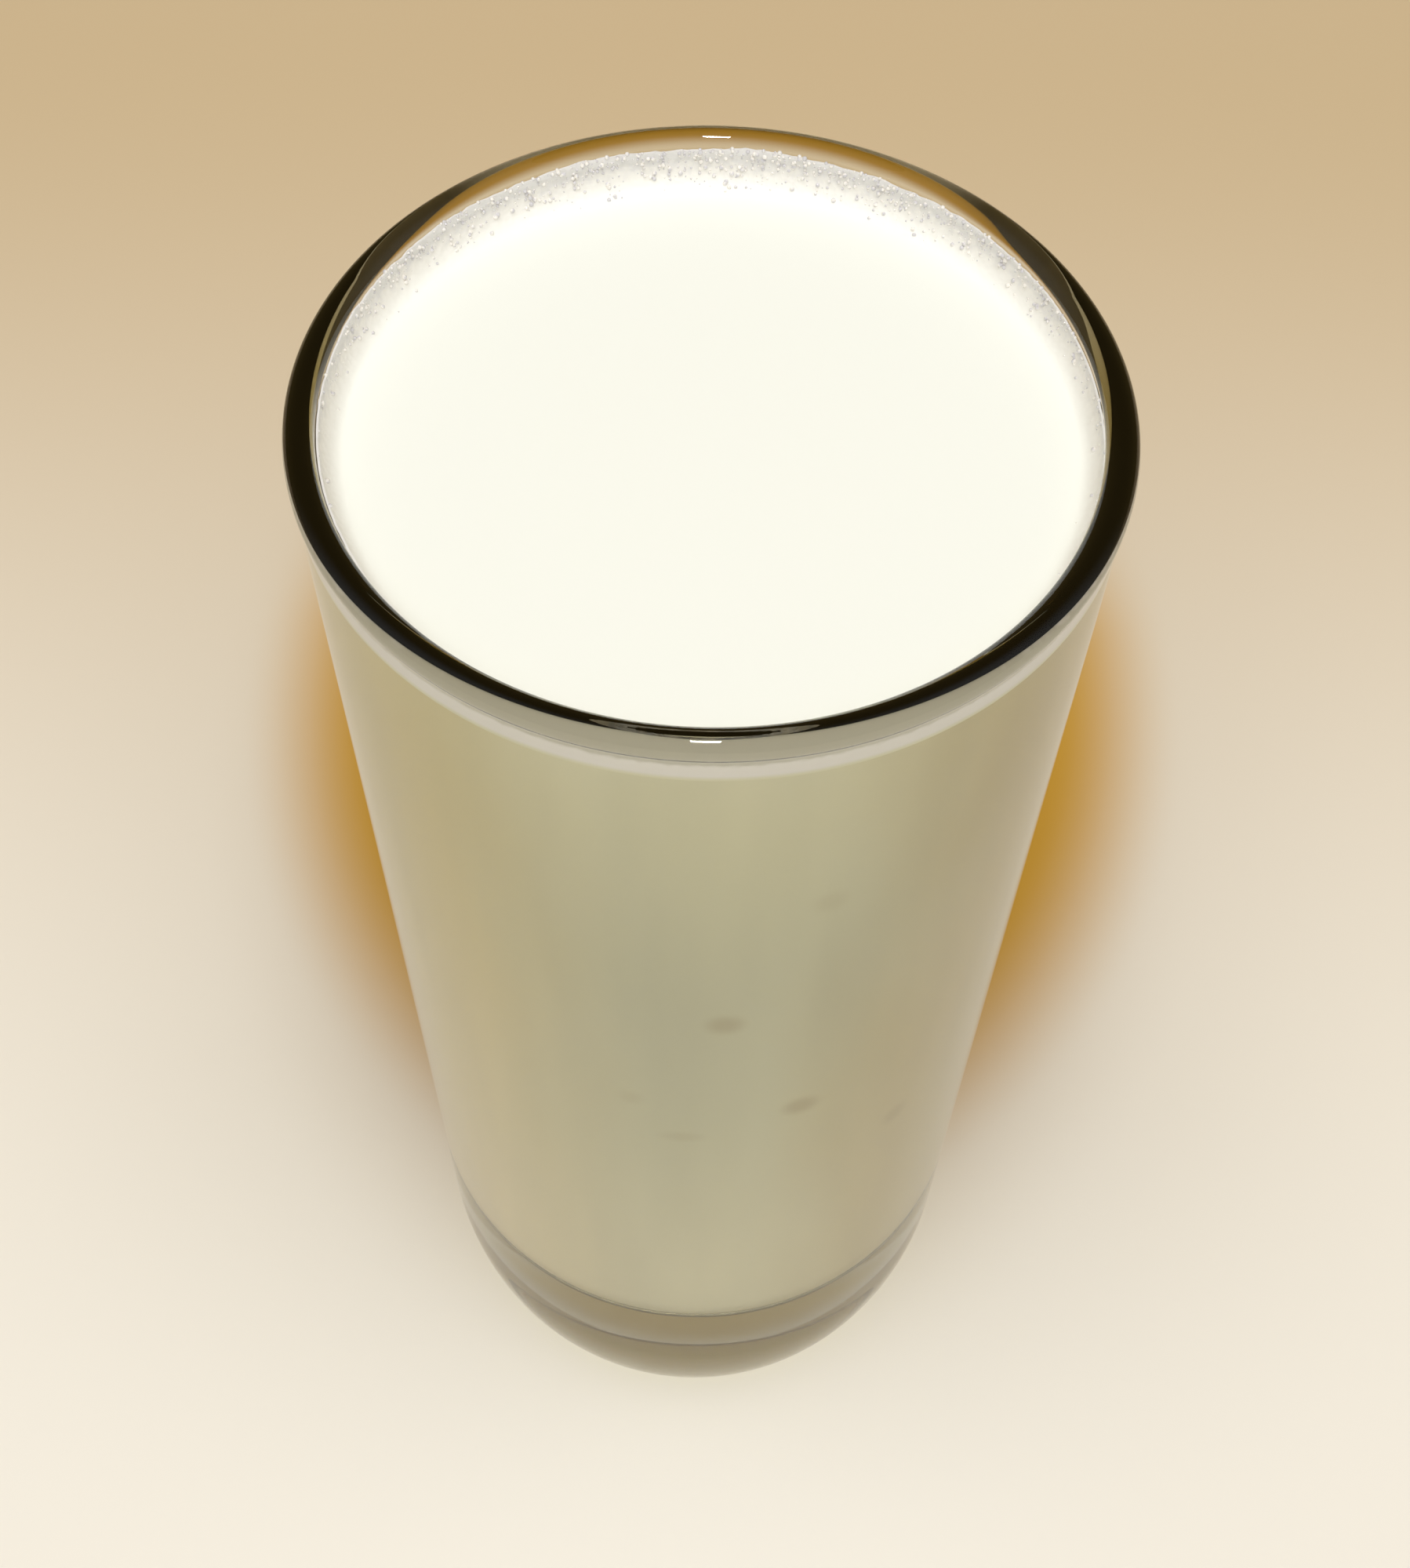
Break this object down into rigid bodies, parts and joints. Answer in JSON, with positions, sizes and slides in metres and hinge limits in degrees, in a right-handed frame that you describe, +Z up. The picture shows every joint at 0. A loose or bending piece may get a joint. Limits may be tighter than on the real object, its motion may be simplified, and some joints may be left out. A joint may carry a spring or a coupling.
{
  "type": "glass of salt lassi",
  "caption": "Clear conical tumbler with a thick base, filled to just under its lip with a pale yogurt drink and a thin froth.",
  "frame": {"origin": "centre of the standing ring, on the floor", "axes": "+Z up the tumbler's axis"},
  "size_m": [0.0698, 0.0698, 0.138],
  "materials": {
    "clear_glass": "polished, clear, faintly green",
    "lassi": "opaque pale cream liquid against glass",
    "froth": "soft, near white, fine bubbles"
  },
  "bodies": {
    "root": {"tumbler": "clear_glass", "lassi": "lassi", "froth": "froth"}
  },
  "joints": []
}
